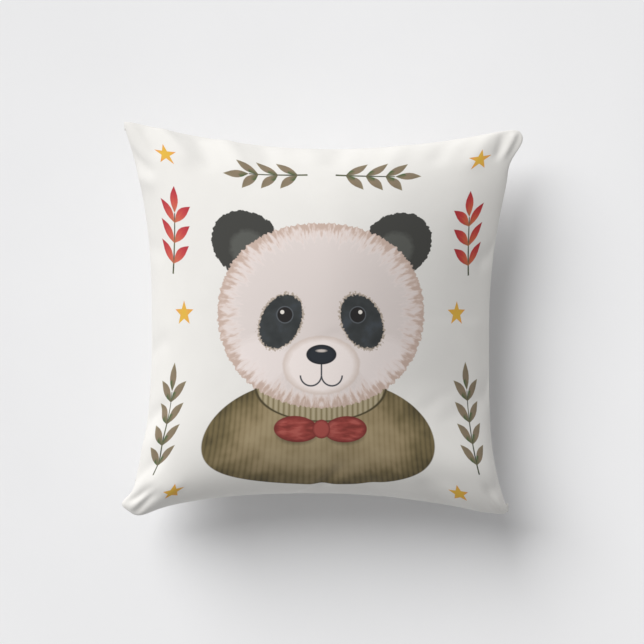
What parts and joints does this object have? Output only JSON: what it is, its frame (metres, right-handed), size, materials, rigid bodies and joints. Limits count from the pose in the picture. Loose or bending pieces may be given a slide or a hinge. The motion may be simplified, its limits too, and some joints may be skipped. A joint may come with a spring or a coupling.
{
  "type": "throw pillow",
  "caption": "Square knife-edge throw pillow with a printed front, a zipped cover and a fibre-filled insert.",
  "frame": {"origin": "centre of the cushion's box on the plane of the face that it lies on", "axes": "+X to the print's right, +Y to the print's top, +Z out of the printed face; the zip is in the -Y side"},
  "size_m": [0.3978, 0.39, 0.1419],
  "materials": {
    "printed_cloth": "matte",
    "plain_cloth": "matte",
    "thread": "satin",
    "satin_ribbon": "satin",
    "zip_tape": "matte",
    "zip_nylon": "satin",
    "zip_metal": "satin",
    "lining": "matte",
    "fibre": "matte"
  },
  "bodies": {
    "root": {"cover_front_panel": "printed_cloth", "cover_back_panel": "plain_cloth", "seam_thread_top": "thread", "seam_thread_left": "thread", "seam_thread_right": "thread", "seam_thread_zip_side": "thread", "overlock_top": "thread", "overlock_left": "thread", "overlock_right": "thread", "care_label": "satin_ribbon", "zip_tape_front": "zip_tape", "zip_tape_back": "zip_tape", "zip_teeth_front": "zip_nylon", "zip_teeth_back": "zip_nylon", "zip_stitches_front": "thread", "zip_stitches_back": "thread", "zip_top_stops": "zip_metal", "zip_bottom_stop": "zip_metal", "insert_front_shell": "lining", "insert_back_shell": "lining", "insert_seam_thread": "thread", "insert_closing_stitches": "thread", "fibre_fill": "fibre"},
    "slider": {"zip_slider": "zip_metal"},
    "pull": {"zip_pull": "zip_metal"}
  },
  "joints": [
    {"name": "zip_slide", "type": "slide", "parent": "root", "child": "slider", "axis": [-1, 0, 0], "range_m": [0, 0.265]},
    {"name": "pull_hinge", "type": "hinge", "parent": "slider", "child": "pull", "pos_m": [0.1325, -0.1723, 0.066], "axis": [0, 0, 1], "range_deg": [0, 170]}
  ]
}
